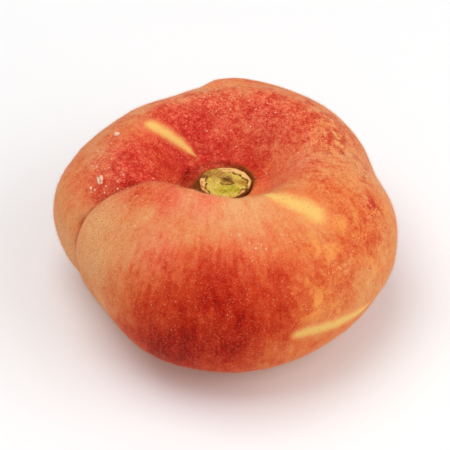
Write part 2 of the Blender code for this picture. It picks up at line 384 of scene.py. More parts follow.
# Dew: direction, angle from the stem, reach of the group, number of drops, largest radius, length to width
DEW = (
    (181.0, 48.0, 4.0 * MM, 14, 0.24 * MM, 1.2),
    (179.0, 44.5, 0.3 * MM, 1, 0.55 * MM, 1.8),
    (181.0, 47.0, 0.3 * MM, 1, 0.34 * MM, 4.5),
    (184.0, 47.0, 1.8 * MM, 4, 0.34 * MM, 1.8),
    (156.0, 42.0, 0.6 * MM, 1, 0.85 * MM, 1.2),
    (160.0, 42.0, 4.0 * MM, 8, 0.20 * MM, 1.1),
    (190.0, 70.0, 8.0 * MM, 8, 0.18 * MM, 1.1),
    (205.0, 45.0, 9.0 * MM, 24, 0.20 * MM, 1.1),
    (240.0, 50.0, 12.0 * MM, 18, 0.14 * MM, 1.2),
    (277.0, 32.0, 1.2 * MM, 2, 0.34 * MM, 1.3),
    (285.0, 39.0, 2.5 * MM, 5, 0.24 * MM, 2.0),
    (215.0, 90.0, 11.0 * MM, 14, 0.15 * MM, 1.1),
    (80.0, 24.0, 12.0 * MM, 40, 0.19 * MM, 1.3),
    (310.0, 50.0, 14.0 * MM, 16, 0.16 * MM, 1.1),
    (40.0, 70.0, 16.0 * MM, 12, 0.18 * MM, 1.1),
)
# Places that drops may take, a drop's height and lift as shares of its radius, and the grid of its ball
DEW_CHOICES = 60000
DROP_HEIGHT, DROP_LIFT = 0.62, 0.20
BALL_RINGS, BALL_TURNS = 4, 8

# Camera, lights and floor
CAMERA_ELEVATION = 47.0
CAMERA_DISTANCE = 0.8
CAMERA_TARGET = (0.0, 0.0, 0.0198)
FRAME_WIDTH = 0.0955
SENSOR = 36.0
# Place, side and power of each light
KEY = ((-0.16, 0.0, 0.62), 0.45, 2.05)
FILL = ((0.45, -0.16, 0.36), 0.50, 1.55)
WORLD_STRENGTH = 0.48
FLOOR_HALF = 1.5


def smooth(low, high, value):
    """0 below low, 1 above high, and an S curve between them."""
    share = np.clip((value - low) / (high - low), 0.0, 1.0)
    return share * share * (3.0 - 2.0 * share)


def bump(value, centre, width):
    """1 at the centre, fading like a bell curve."""
    return np.exp(-(((value - centre) / width) ** 2))


def turn_bump(azimuth, centre, width):
    """A bump by direction, in degrees, that joins up after a full turn."""
    return bump((azimuth - centre + 180.0) % 360.0 - 180.0, 0.0, width)


def fold_azimuth(polar):
    """Direction of the fold, in degrees, by the angle down from the stem."""
    return FOLD_AZIMUTH + FOLD_BEND * bump(polar, FOLD_BEND_POLAR, FOLD_BEND_REACH)


def plan_radius(azimuth, level):
    """Radius of the outline by direction, with the cheek beside the fold tucked in below the middle."""
    turn = np.radians(azimuth)
    plain = 1.0 / np.hypot(np.cos(turn) / HALF_WIDTH, np.sin(turn) / HALF_DEPTH)
    change = sum(share * turn_bump(azimuth, centre, reach) for centre, share, reach in SWELLINGS)
    centre, share, reach = CHEEK_TUCK
    change = change + share * turn_bump(azimuth, centre, reach) * smooth(0.5, -0.3, level)
    return plain * (1.0 + change)


def cavity_height(radius, azimuth):
    """How far the stem cavity, its back shoulder and the right hollow move the upper side up or down."""
    front = (0.5 - 0.5 * np.sin(np.radians(azimuth))) ** 1.5
    slope = CAVITY_SLOPE_BEHIND + (CAVITY_SLOPE_FRONT - CAVITY_SLOPE_BEHIND) * front
    sink = CAVITY_DEPTH * bump(np.maximum(radius, CAVITY_FLOOR_RADIUS), CAVITY_FLOOR_RADIUS, slope)
    behind = smooth(-0.4, 0.8, np.sin(np.radians(azimuth)))
    shoulder = SHOULDER_RISE * behind * bump(radius, SHOULDER_RADIUS, SHOULDER_WIDTH)
    hollow = HOLLOW_DEPTH * turn_bump(azimuth, HOLLOW_AZIMUTH, HOLLOW_REACH)
    hollow = hollow * smooth(0.15 * HALF_WIDTH, 0.5 * HALF_WIDTH, radius)
    return shoulder - sink - hollow


def back_lobe(azimuth, level):
    """How far the skin swells or sinks at the small lobe behind and its furrow."""
    turn = azimuth % 360.0
    along = smooth(LOBE_START, LOBE_FULL, turn) * smooth(LOBE_END, LOBE_FADE, turn)
    swell = LOBE_RISE * bump(level, LOBE_LEVEL, LOBE_SPREAD)
    furrow = FURROW_DEPTH * bump(level, FURROW_LEVEL, FURROW_SPREAD)
    return along * (swell - furrow)


def fold_reach(polar, radius):
    """Strength of the fold: it starts beside the stalk, is full on top and runs out below."""
    start = smooth(1.5 * MM, 8.0 * MM, radius)
    return start * (1.0 - 0.45 * smooth(40.0, 80.0, polar) - 0.42 * smooth(85.0, 140.0, polar))


def fold_wall(across):
    """Height of the front lobe's rounded edge: 0 at the fold, and 1 from one rounding away."""
    left = 1.0 - np.clip(across / FOLD_ROUNDING, 0.0, 1.0)
    return np.sqrt(1.0 - left * left)


def fold_sink(across):
    """Shape across the fold: a steep round edge with a lip on the near side, and a long slope beyond."""
    lip = FOLD_LIP * (
        bump(across, 1.3 * FOLD_ROUNDING, FOLD_ROUNDING)
        - bump(0.0, 1.3 * FOLD_ROUNDING, FOLD_ROUNDING) * np.exp(-np.abs(across) / (0.3 * FOLD_ROUNDING))
    )
    near = fold_wall(across) - 1.0 + lip
    far = -np.exp(np.minimum(across, 0.0) / FOLD_FAR_SLOPE)
    return np.where(across >= 0.0, near, far)


def fruit_points(polar, past_fold):
    """Points of the skin, by the angle down from the stem and the angle past the fold, both in degrees.

    A flattened ball of powers 2.25, whose upper side is sunk by the stem cavity and whose lower side is sunk
    by the blossom dimple, is moved along its slope by the fold and the back lobe, and leans over the fold.
    """
    azimuth = fold_azimuth(polar) + past_fold
    turn, tilt = np.radians(azimuth), np.radians(polar)
    across_share = np.sin(tilt) ** (2.0 / ROUNDNESS)
    level = np.sign(np.cos(tilt)) * np.abs(np.cos(tilt)) ** (2.0 / ROUNDNESS)
    upper = level > 0.0

    radius = plan_radius(azimuth, level) * across_share
    height = np.where(upper, TOP_RISE, LOW_DROP) * level
    height = height + np.where(upper, cavity_height(radius, azimuth) * smooth(0.0, 0.4, level), 0.0)
    height = height + np.where(upper, 0.0, DIMPLE_DEPTH * bump(radius, 0.0, DIMPLE_RADIUS))

    out = across_share ** (ROUNDNESS - 1.0) / HALF_WIDTH
    up = np.sign(level) * np.abs(level) ** (ROUNDNESS - 1.0) / TOP_RISE
    out, up = out / np.hypot(out, up), up / np.hypot(out, up)

    across = np.radians((past_fold + 180.0) % 360.0 - 180.0) * radius
    reach = fold_reach(polar, radius)
    push = FOLD_DEPTH * reach * fold_sink(across) + back_lobe(azimuth, level)
    lean = FOLD_LEAN * reach * fold_wall(across) * bump(across, 0.0, 2.2 * FOLD_ROUNDING)
    lean = np.where(across > 0.0, lean * smooth(95.0, 60.0, polar), 0.0)

    x = np.cos(turn) * (radius + out * push) + np.sin(turn) * lean
    y = np.sin(turn) * (radius + out * push) - np.cos(turn) * lean
    return np.stack([x, y, height + up * push], axis=-1)


def skin_grid(turns, rings):
    """Polar and past-fold angles of a grid without its poles, with its columns crowded at the fold."""
    share = np.arange(turns) / turns
    past_fold = 360.0 * (share - CROWDING * np.sin(2.0 * np.pi * share) / (2.0 * np.pi))
    polar = 180.0 * np.arange(1, rings) / rings
    return np.meshgrid(polar, past_fold, indexing="ij")


def seat_move():
    """How far the CAD fruit was moved to stand over the origin with its low places on the surface."""
    points = fruit_points(*skin_grid(CAD_TURNS, CAD_RINGS)).reshape(-1, 3)
    low, high = points.min(axis=0), points.max(axis=0)
    middle = (low + high) / 2.0
    return np.array([-middle[0], -middle[1], -low[2] - SEAT_DEPTH])


def place(azimuth, polar):
    """The point of the skin at a direction and an angle from the stem. Arrays give an array of points."""
    azimuth, polar = np.asarray(azimuth, float), np.asarray(polar, float)
    return fruit_points(polar, (azimuth - fold_azimuth(polar)) % 360.0) + seat_move()


def outward(grid):
    """Unit normals of a closed grid of points: rows go down, columns go round, and both are crossed."""
    down = np.gradient(grid, axis=0)
    along = np.roll(grid, -1, axis=1) - np.roll(grid, 1, axis=1)
    normal = np.cross(down, along)
    return normal / np.linalg.norm(normal, axis=-1, keepdims=True)


def ripple(points, wavelength, seed):
    """A mean of nine plane sine waves of one wavelength, in seeded directions, between about -1 and 1."""
    draw = np.random.default_rng(seed)
    heading = draw.normal(size=(9, 3))
    heading = heading / np.linalg.norm(heading, axis=1, keepdims=True)
    phase = draw.uniform(0.0, 2.0 * np.pi, 9)
    waves = np.sin(points @ heading.T * (2.0 * np.pi / wavelength) + phase)
    return waves.mean(axis=-1) * 1.8


def far_from(points, centre):
    """Distance of each point from one place."""
    return np.linalg.norm(points - np.asarray(centre), axis=-1)


def skin_relief(points, stub):
    """Height of the fine relief: ripples, puckers and a raised ring round the stub, a notch in the fold."""
    height = sum(size * ripple(points, length, 11 + step) for step, (length, size) in enumerate(RIPPLES))
    flat = points[..., :2] - np.asarray(stub)[:2]
    turn = np.arctan2(flat[..., 1], flat[..., 0])
    pleats = np.sin(11.0 * turn + 0.7) + 0.6 * np.sin(17.0 * turn + 2.1) + 0.5 * np.sin(5.0 * turn)
    near_stub = bump(far_from(flat, (0.0, 0.0)), PUCKER_RADIUS, PUCKER_WIDTH) * (points[..., 2] > stub[2])
    height = height + PUCKER_HEIGHT * pleats * near_stub
    share = np.hypot(flat[..., 0] / STUB_HALF_WIDTH, flat[..., 1] / STUB_HALF_DEPTH)
    ring = bump(np.maximum(share, RING_SHARE), RING_SHARE, RING_WIDTH)
    ring = ring * smooth(0.90, 1.04, share) * (points[..., 2] > stub[2] - MM)
    height = height + np.maximum(stub[2] + RING_LEVEL - points[..., 2], 0.0) * ring
    return height - NOTCH_DEPTH * bump(far_from(points, place(*NOTCH_PLACE)), 0.0, NOTCH_RADIUS)


def closed_faces(rows, columns):
    """Quads of a grid that goes round, and fans of triangles to its two poles, which come last."""
    row, column = np.meshgrid(np.arange(rows - 1), np.arange(columns), indexing="ij")
    following = (column + 1) % columns
    quads = np.stack(
        [
            row * columns + column,
            (row + 1) * columns + column,
            (row + 1) * columns + following,
            row * columns + following,
        ],
        axis=-1,
    ).reshape(-1, 4)
    first = np.arange(columns)
    after = (first + 1) % columns
    top = np.stack([np.full(columns, rows * columns), first, after], axis=-1)
    last_row = (rows - 1) * columns
    low = np.stack([np.full(columns, rows * columns + 1), last_row + after, last_row + first], axis=-1)
    return quads.tolist() + top.tolist() + low.tolist()


def with_poles(grid):
    """The grid's points in one list, then the middles of its first and its last row."""
    poles = np.stack([grid[0].mean(axis=0), grid[-1].mean(axis=0)])
    return np.concatenate([grid.reshape(-1, 3), poles])


def add_piece(name, points, faces, finish, replaced=(), fields=None):
    """Puts points and faces in the scene as one smooth piece, which rides on the body."""
    mesh = bpy.data.meshes.new(name)
    mesh.from_pydata(points.tolist(), [], faces)
    for field, values in (fields or {}).items():
        kind, key = ("FLOAT", "value") if values.ndim == 1 else ("FLOAT_VECTOR", "vector")
        layer = mesh.attributes.new(field, kind, "POINT")
        layer.data.foreach_set(key, values.astype(np.float32).ravel())
    mesh.shade_smooth()
    mesh.materials.append(finish)
    piece = bpy.data.objects.new(name, mesh)
    bpy.context.scene.collection.objects.link(piece)
    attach(piece, "root")
    if replaced:
        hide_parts(*replaced)


def laid_on(points, dabs, start):
    """A field laid on in soft round dabs, each of which moves it towards its own value by its strength."""
    field = np.full(len(points), start)
    for azimuth, polar, reach, value, strength in dabs:
        share = strength * bump(far_from(points, place(azimuth, polar)), 0.0, reach)
        field = field + (value - field) * share
    return field


def gathered(points, dabs):
    """A field that is the largest of soft round dabs, each with its own amount in the middle."""
    field = np.zeros(len(points))
    for azimuth, polar, reach, amount in dabs:
        field = np.maximum(field, amount * bump(far_from(points, place(azimuth, polar)), 0.0, reach))
    return field


def streak_field(points):
    """1 in the middle of a streak, 0 at its edge and below 0 outside. Streaks taper and fade to both ends.

    Each streak is a curve of second degree through three places, and the distance is that to its nearest
    point, in half widths of the streak there.
    """
    field = np.full(len(points), -2.0)
    along = np.linspace(0.0, 1.0, STREAK_POINTS)
    first_share = (1.0 - along) * (1.0 - 2.0 * along)
    middle_share = 4.0 * along * (1.0 - along)
    last_share = along * (2.0 * along - 1.0)
    ends = np.minimum(1.0, STREAK_END_WIDTH + STREAK_WIDENING * np.minimum(along, 1.0 - along))
    fading = STREAK_FADE * smooth(*STREAK_FADE_SPAN, np.abs(along - 0.5))
    for first, middle, last, first_half, last_half in STREAKS:
        first, last = (near_turn(end, middle) for end in (first, last))
        azimuth, polar = (
            first_share * a + middle_share * b + last_share * c for a, b, c in zip(first, middle, last)
        )
        half_widths = (first_half + (last_half - first_half) * along) * ends
        for centre, half_width, fade in zip(place(azimuth, polar), half_widths, fading):
            field = np.maximum(field, 1.0 - fade - far_from(points, centre) / half_width)
    return field


def near_turn(end, middle):
    """The same place, with its direction written within half a turn of the middle's."""
    turns = round((middle[0] - end[0]) / 360.0)
    return end[0] + 360.0 * turns, end[1]


def colour(red, green, blue):
    """A screen colour from 0 to 255, as the shader's linear colour."""
    share = np.array([red, green, blue]) / 255.0
    linear = np.where(share <= 0.04045, share / 12.92, ((share + 0.055) / 1.055) ** 2.4)
    return (*linear.tolist(), 1.0)


class Signal:
    """A socket that carries a number, whose operators add Math nodes."""

    def __init__(self, finish, socket):
        self.finish = finish
        self.socket = socket

    def __add__(self, other):
        return self.finish.maths("ADD", self, other)

    def __sub__(self, other):
        return self.finish.maths("SUBTRACT", self, other)

    def __rsub__(self, other):
        return self.finish.maths("SUBTRACT", other, self)

    def __mul__(self, other):
        return self.finish.maths("MULTIPLY", self, other)

    __radd__ = __add__
    __rmul__ = __mul__


class Finish:
    """A material. Its node method adds any node, and the others are short names for common ones."""

    def __init__(self, name, **constants):
        self.material = bpy.data.materials.new(name)
        self.material.use_nodes = True
        self.tree = self.material.node_tree
        self.shader = self.tree.nodes["Principled BSDF"]
        self.feed(self.shader, {key.replace("_", " "): value for key, value in constants.items()})

    def feed(self, node, values):
        """Sets a node's sockets to values, or links them to signals."""
        for key, value in values.items():
            socket = node.inputs[key]
            if isinstance(value, Signal):
                self.tree.links.new(value.socket, socket)
            else:
                socket.default_value = value

    def node(self, kind, settings, values, output=0):
        """Adds a node of a kind: first its settings, then its sockets. Returns one of its outputs."""
        made = self.tree.nodes.new("ShaderNode" + kind)
        for name, setting in settings.items():
            if name == "stops":
                set_stops(made.color_ramp, setting)
            else:
                setattr(made, name, setting)
        self.feed(made, values)
        return Signal(self, made.outputs[output])

    def maths(self, operation, first, second):
        return self.node("Math", {"operation": operation}, {0: first, 1: second})

    def field(self, name):
        """The piece's own attribute of that name."""
        return self.node("Attribute", {"attribute_name": name}, {}, "Fac")

    def noise(self, size, detail=2.0, shift=0.0, where=None):
        """Noise about 0, of features about one size across, reaching about half each way."""
        where = where or self.node("TexCoord", {}, {}, "Object")
        moved = self.node("VectorMath", {"operation": "ADD"}, {0: where, 1: (shift, shift, shift)})
        made = self.node("TexNoise", {}, {"Vector": moved, "Scale": 1.0 / size, "Detail": detail}, "Fac")
        return (made - 0.5) * 2.0

    def between(self, low, high, value):
        """0 below low, 1 above high, and an S curve between them."""
        settings = {"interpolation_type": "SMOOTHSTEP"}
        return self.node("MapRange", settings, {"Value": value, "From Min": low, "From Max": high})

    def mix(self, share, first, second):
        """One colour over another by a share."""
        settings = {"data_type": "RGBA", "clamp_factor": True}
        return self.node("Mix", settings, {0: share, 6: first, 7: second}, 2)

    def ramp(self, value, stops):
        """The colour at a value, from stops that each have a position and a screen colour."""
        return self.node("ValToRGB", {"stops": stops}, {"Fac": value})


def set_stops(ramp, stops):
    """Gives a colour ramp its stops, each a position and a screen colour, the first at 0, the last at 1."""
    for position, tint in stops[1:-1]:
        ramp.elements.new(position).color = colour(*tint)
    ramp.elements[0].color = colour(*stops[0][1])
    ramp.elements[-1].color = colour(*stops[-1][1])


def skin_finish():
    """Peach skin: blush over a tan or golden ground, with blots, streaks, motes and pores, painted glints,
    painted shade in the fold and beside the stub, and the blossom's brown scar on top.
    """
    skin = Finish(
        "peach_skin",
        Subsurface_Weight=0.12,
        Subsurface_Scale=0.0015,
        Subsurface_Radius=(1.0, 0.35, 0.15),
        Specular_IOR_Level=0.06,
        Sheen_Weight=0.18,
        Sheen_Roughness=0.25,
        Sheen_Tint=colour(255, 220, 184),
    )
    mottle = skin.noise(2.2 * MM, 2.0, 0.3)
    grain = skin.noise(0.80 * MM, 2.0, 0.6)
    dust = skin.noise(0.36 * MM, 1.0, 0.9)
    pepper = skin.noise(0.34 * MM, 1.0, 11.7)
    fleck = skin.field("fleck")

    level = blush_level(skin, mottle * 0.26 + grain * 0.28 + dust * 0.28, fleck)
    tint = skin.mix(skin.field("pink"), skin.ramp(level, WARM_BLUSH), skin.ramp(level, PINK_BLUSH))
    tint = with_ground(skin, tint, level, mottle, grain, pepper)
    tint = with_blots(skin, tint, fleck, dust)
    tint = with_streaks(skin, tint, grain * 0.50 + mottle * 0.40)
    tint = with_specks(skin, tint, level, grain, pepper)
    tint = with_shades_and_scar(skin, tint, mottle, grain)
    skin.feed(skin.shader, {"Base Color": tint, "Roughness": 0.60 + grain * 0.10})

    pits = skin.noise(0.45 * MM, 2.0, 4.4) + grain * 0.8
    relief = skin.node("Bump", {}, {"Strength": 0.35, "Distance": 0.06 * MM, "Height": pits})
    skin.feed(skin.shader, {"Normal": relief})
    return skin.material


def blush_level(skin, fine, fleck):
    """How red the skin is: the laid-on blush with clouds, mottle combed down the sides and fine grain."""
    cloud = skin.noise(6.5 * MM, 2.0)
    flow = skin.node("Attribute", {"attribute_name": "flow"}, {}, "Vector")
    combed = skin.noise(1.5 * MM, 2.0, 7.1, flow)
    broad = skin.field("blush") + cloud * 0.22 + combed * (0.18 - fleck * 0.12)
    return broad + fine * (0.46 + fleck * 0.90)


def with_ground(skin, tint, level, mottle, grain, pepper):
    """The ground where the blush is thin: peppered tan skin, and golden marbling."""
    bare = 1.0 - skin.between(0.25, 0.75, level)
    light = skin.between(-0.5, 0.5, pepper + mottle * 0.4)
    peppered = skin.mix(light, colour(216, 142, 90), colour(240, 184, 130))
    tint = skin.mix(skin.field("tan") * bare * (0.80 + grain * 0.5), tint, peppered)
    gold = skin.field("gold")
    marbling = skin.noise(2.8 * MM, 4.0, 1.3) + gold * 0.45 - 0.10
    return skin.mix(skin.between(0.02, 0.42, marbling) * gold * 0.70, tint, colour(243, 166, 84))


def with_blots(skin, tint, fleck, dust):
    """Red blots, and thin winding threads where a noise passes 0, both only where the skin is flecked."""
    blots = skin.between(0.02, 0.36, skin.noise(2.6 * MM, 3.0, 2.1) + fleck * 0.08 + dust * 0.2)
    tint = skin.mix(blots * fleck * 0.80, tint, colour(196, 50, 34))
    passing = skin.noise(1.7 * MM, 2.0, 6.4)
    threads = skin.between(0.0, 0.035, 0.05 - passing * passing * 5.0)
    threads = threads * skin.between(0.0, 0.25, skin.noise(1.9 * MM, 1.0, 8.3))
    return skin.mix(threads * fleck * 0.55, tint, colour(182, 38, 28))


def with_streaks(skin, tint, rough):
    """Yellow pressure streaks with a rough orange edge."""
    edge = skin.field("streak") + rough
    tint = skin.mix(skin.between(-1.10, 0.20, edge) * 0.55, tint, colour(236, 146, 84))
    return skin.mix(skin.between(-0.40, 0.85, edge) * 0.85, tint, colour(236, 197, 110))


def with_specks(skin, tint, level, grain, pepper):
    """Dark motes, pale dots that are painted glints of the down and thin out on the red, and dark pores in
    the middles of small cells.
    """
    motes = skin.between(0.10, 0.34, pepper * -1.0) * skin.between(-0.1, 0.3, grain)
    tint = skin.mix(motes * 0.28, tint, colour(150, 54, 26))
    painted_glints = skin.between(0.22, 0.42, skin.noise(0.40 * MM, 1.0, 5.2))
    tint = skin.mix(painted_glints * (0.42 - level * 0.28), tint, colour(248, 176, 134))
    cells = {"Vector": skin.node("TexCoord", {}, {}, "Object"), "Scale": 1.0 / (1.4 * MM)}
    middles = skin.node("TexVoronoi", {"feature": "F1"}, cells, "Distance")
    pores = skin.between(0.0, 0.07, 0.14 - middles) * skin.between(0.0, 0.3, skin.noise(3.1 * MM, 1.0, 3.3))
    return skin.mix(pores * 0.45, tint, colour(150, 56, 26))


def with_shades_and_scar(skin, tint, mottle, grain):
    """Dark red painted shade in the fold and darker in its notch, brown painted shade in the cavity beside
    the stub, and the brown scar of the blossom.
    """
    # Painted shade: dark red in the fold, darker in its notch
    crease = skin.field("crease") + grain * 0.15
    tint = skin.mix(skin.between(0.25, 0.95, crease) * 0.78, tint, colour(166, 34, 16))
    tint = skin.mix(skin.between(0.95, 1.70, crease) * 0.80, tint, colour(112, 18, 6))
    # Brown painted shade beside the stub, and the blossom's brown scar
    stain = skin.field("stain") + grain * 0.16 + mottle * 0.14
    tint = skin.mix(skin.between(0.10, 0.60, stain) * 0.70, tint, colour(160, 78, 28))
    return skin.mix(skin.between(0.55, 1.00, stain) * 0.85, tint, colour(108, 54, 12))


def scar_finish():
    """Torn stalk: yellow-green wood with golden and olive parts, brown cracks, a cream collar, and painted
    shade on its rim, side and top edge.
    """
    scar = Finish("stalk_wood", Subsurface_Weight=0.06, Subsurface_Scale=0.001, Specular_IOR_Level=0.25)
    blotch = scar.noise(1.5 * MM, 2.0)
    thread = scar.noise(0.55 * MM, 3.0, 0.4)
    grit = scar.noise(0.30 * MM, 1.0, 1.4)
    wood = scar.ramp(scar.field("tone") + blotch * 0.20 + thread * 0.30, WOOD_COLOURS)
    wood = scar.mix(scar.between(0.10, 0.60, blotch * 0.6 + thread) * 0.45, wood, colour(140, 98, 18))
    wood = scar.mix(scar.between(0.10, 0.45, blotch * -0.4 - thread) * 0.45, wood, colour(232, 204, 122))
    cream = scar.mix(scar.between(-0.1, 0.5, blotch + thread), colour(236, 188, 116), colour(196, 134, 70))
    wood = scar.mix(scar.between(0.30, 0.70, scar.field("collar") + thread * 0.3), wood, cream)
    brown = scar.field("brown")
    wood = scar.mix(scar.between(0.20, 0.66, brown + thread * 0.5) * 0.9, wood, colour(122, 74, 10))
    wood = scar.mix(scar.between(0.70, 1.15, brown + grit * 0.6) * 0.8, wood, colour(74, 40, 6))
    scar.feed(scar.shader, {"Base Color": wood, "Roughness": 0.66 + thread * 0.12})
    relief = scar.node("Bump", {}, {"Strength": 0.6, "Distance": 0.10 * MM, "Height": thread + grit * 0.5})
    scar.feed(scar.shader, {"Normal": relief})
    return scar.material


def plain_finish(name, tint, **constants):
    """A finish of one colour, for hairs and drops too fine to show a pattern."""
    return Finish(name, Base_Color=colour(*tint), **constants).material


def stub_centre():
    """Middle of the stub's foot, from the CAD node."""
    low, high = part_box("stem_stub")
    return np.array([(low[0] + high[0]) / 2.0, (low[1] + high[1]) / 2.0, low[2]])


def fold_shade_field(polar, past_fold, radius):
    """Painted shade along the fold: a bump across it, wider on its far side and on top, fading to both ends.
    """
    across = np.radians((past_fold + 180.0) % 360.0 - 180.0) * radius
    far_width = FOLD_SHADE_WIDTH + (FOLD_SHADE_TOP_WIDTH - FOLD_SHADE_WIDTH) * smooth(*FOLD_SHADE_WIDENS, polar)
    crease = bump(across, FOLD_SHADE_ACROSS, np.where(across < FOLD_SHADE_ACROSS, far_width, 0.5 * FOLD_SHADE_WIDTH))
    return crease * smooth(*FOLD_SHADE_STARTS, polar) * smooth(*FOLD_SHADE_ENDS, polar)


def shade_and_scar_field(points):
    """Brown painted shade in the cavity round the stub, a soft disc seen behind it and a spot at its left,
    and the blossom's brown scar.
    """
    stub = stub_centre()
    beside = (points - stub)[:, :2] / [STUB_HALF_WIDTH, STUB_HALF_DEPTH]
    stain = STUB_SHADE_AMOUNT * smooth(*STUB_SHADE_EDGES, far_from(beside, STUB_SHADE_CENTRE))
    stain = stain + STUB_SHADE_SPOT_AMOUNT * bump(far_from(beside, STUB_SHADE_SPOT), 0.0, STUB_SHADE_SPOT_REACH)
    stain = stain * (points[:, 2] > stub[2] - STUB_SHADE_REACH_BELOW)
    return stain + smooth(*BLOSSOM_EDGES, far_from(points, place(0.0, 180.0)))


def make_skin():
    """The skin as a fine grid, with its relief along the normals. Returns points and faces for the down."""
    polar, past_fold = skin_grid(SKIN_TURNS, SKIN_RINGS)
    grid = fruit_points(polar, past_fold) + seat_move()
    crease = fold_shade_field(polar, past_fold, np.hypot(grid[..., 0], grid[..., 1]))
    heading = np.radians(fold_azimuth(polar) + past_fold)
    flow = np.stack([np.cos(heading), np.sin(heading), FLOW_SLOWNESS * np.radians(polar)], axis=-1)
    grid = grid + outward(grid) * skin_relief(grid, stub_centre())[..., None]
    points = with_poles(grid)
    points[:, 2] = np.maximum(points[:, 2], 0.0)
    # Painted shade in the notch of the fold, added to the fold's painted shade
    notch = NOTCH_SHADE * bump(far_from(points, place(*NOTCH_PLACE)), 0.0, NOTCH_SHADE_RADIUS)
    ripples = BLUSH_RIPPLE_SHARE * ripple(points, BLUSH_RIPPLE, 5)
    fields = {
        "blush": laid_on(points, BLUSH, BLUSH_START) + ripples,
        "gold": gathered(points, GOLD),
        "tan": gathered(points, TAN),
        "fleck": gathered(points, FLECKS),
        "pink": gathered(points, PINK),
        "streak": streak_field(points),
        "flow": with_poles(flow * HALF_WIDTH),
        "crease": np.append(crease.ravel(), [0.0, 0.0]) + notch,
        "stain": shade_and_scar_field(points),
    }
    faces = closed_faces(SKIN_RINGS - 1, SKIN_TURNS)
    add_piece("peach_skin", points, faces, skin_finish(), ("fruit",), fields)
    return points, faces


def scar_rows():
    """Share of the radius and plain height of each row: over top and rim, down the side and underneath."""
    along = np.linspace(0.0, 1.0, SCAR_RINGS)
    ends = (0.0, TOP_END, RIM_END, SIDE_END, 1.0)
    share = np.interp(along, ends, (0.02, 0.96, 1.0, STUB_FOOT_SHARE, 0.02))
    dome = STUB_RISE - DOME_DROP * share**2 - DOME_DROP * smooth(0.88, 1.0, share)
    rim_height = dome[along <= TOP_END][-1]
    side = np.interp(along, (TOP_END, RIM_END, SIDE_END), (rim_height, rim_height - RIM_DROP, -STUB_SINK))
    return along, share, np.where(along <= TOP_END, dome, side)


def rim_sway(turn):
    """How far the stub's outline sways in and out round the axis, as a share of its radius: three waves."""
    return 0.016 * np.sin(3.0 * turn + 0.6) + 0.012 * np.sin(5.0 * turn + 2.2) + 0.010 * np.sin(11.0 * turn)


def scar_crack(share, turn):
    """The crack and the collar outside it, from 0 to 1, by share of the radius and angle round the axis.

    The crack runs far out in front, and further in behind and at the left. A sum of waves breaks it up, and
    at the back left both give way to wood that is rooted up to the rim.
    """
    breaks = np.sin(2.0 * turn + 0.9) + 0.7 * np.sin(7.0 * turn + 0.4) + 0.9 * np.sin(19.0 * turn + 1.1)
    runs_at = CRACK_SHARE - CRACK_SWAY * np.cos(turn - CRACK_TURN) + 2.0 * rim_sway(turn)
    runs_at = runs_at - CRACK_DENT * bump(turn, CRACK_DENT_TURN, CRACK_DENT_REACH)
    loose = 1.0 - bump(turn, ROOTED_TURN, ROOTED_REACH)
    crack = bump(share, runs_at, CRACK_WIDTH) * smooth(-1.3, 0.6, breaks) * loose
    return crack, smooth(0.0, 0.06, share - runs_at) * loose


def scar_splits(share, turn):
    """Fine splits of the outer wood, where a wave round the axis passes 0, thinned out by a second wave."""
    splits = bump(np.sin(4.5 * turn + 0.4 * np.sin(2.0 * turn) + 1.9), 0.0, 0.07) * smooth(0.35, 0.6, share)
    return splits * smooth(0.9, 0.8, share) * smooth(-0.2, 0.5, np.sin(3.0 * turn + 1.0))


def pit_ring(flat_x, flat_y):
    """The sunk ring round the middle: a bump of the distance from its centre, fainter at the back left."""
    right, back = flat_x - PIT_CENTRE[0], flat_y - PIT_CENTRE[1]
    turn = np.arctan2(back, right)
    distance = np.hypot(right * 0.9, back * 1.1) + 0.03 * np.sin(3.0 * turn)
    return bump(distance, PIT_SHARE, PIT_WIDTH) * smooth(-1.3, -0.5, np.cos(turn + 0.6))


def wood_tone(flat_x, flat_y):
    """Tone of the wood, laid on in soft round dabs, each of which moves it towards its own tone."""
    tone = np.full(flat_x.shape, WOOD_START)
    for right, back, reach, value, strength in WOOD_TONES:
        tone = tone + (value - tone) * strength * bump(np.hypot(flat_x - right, flat_y - back), 0.0, reach)
    return tone


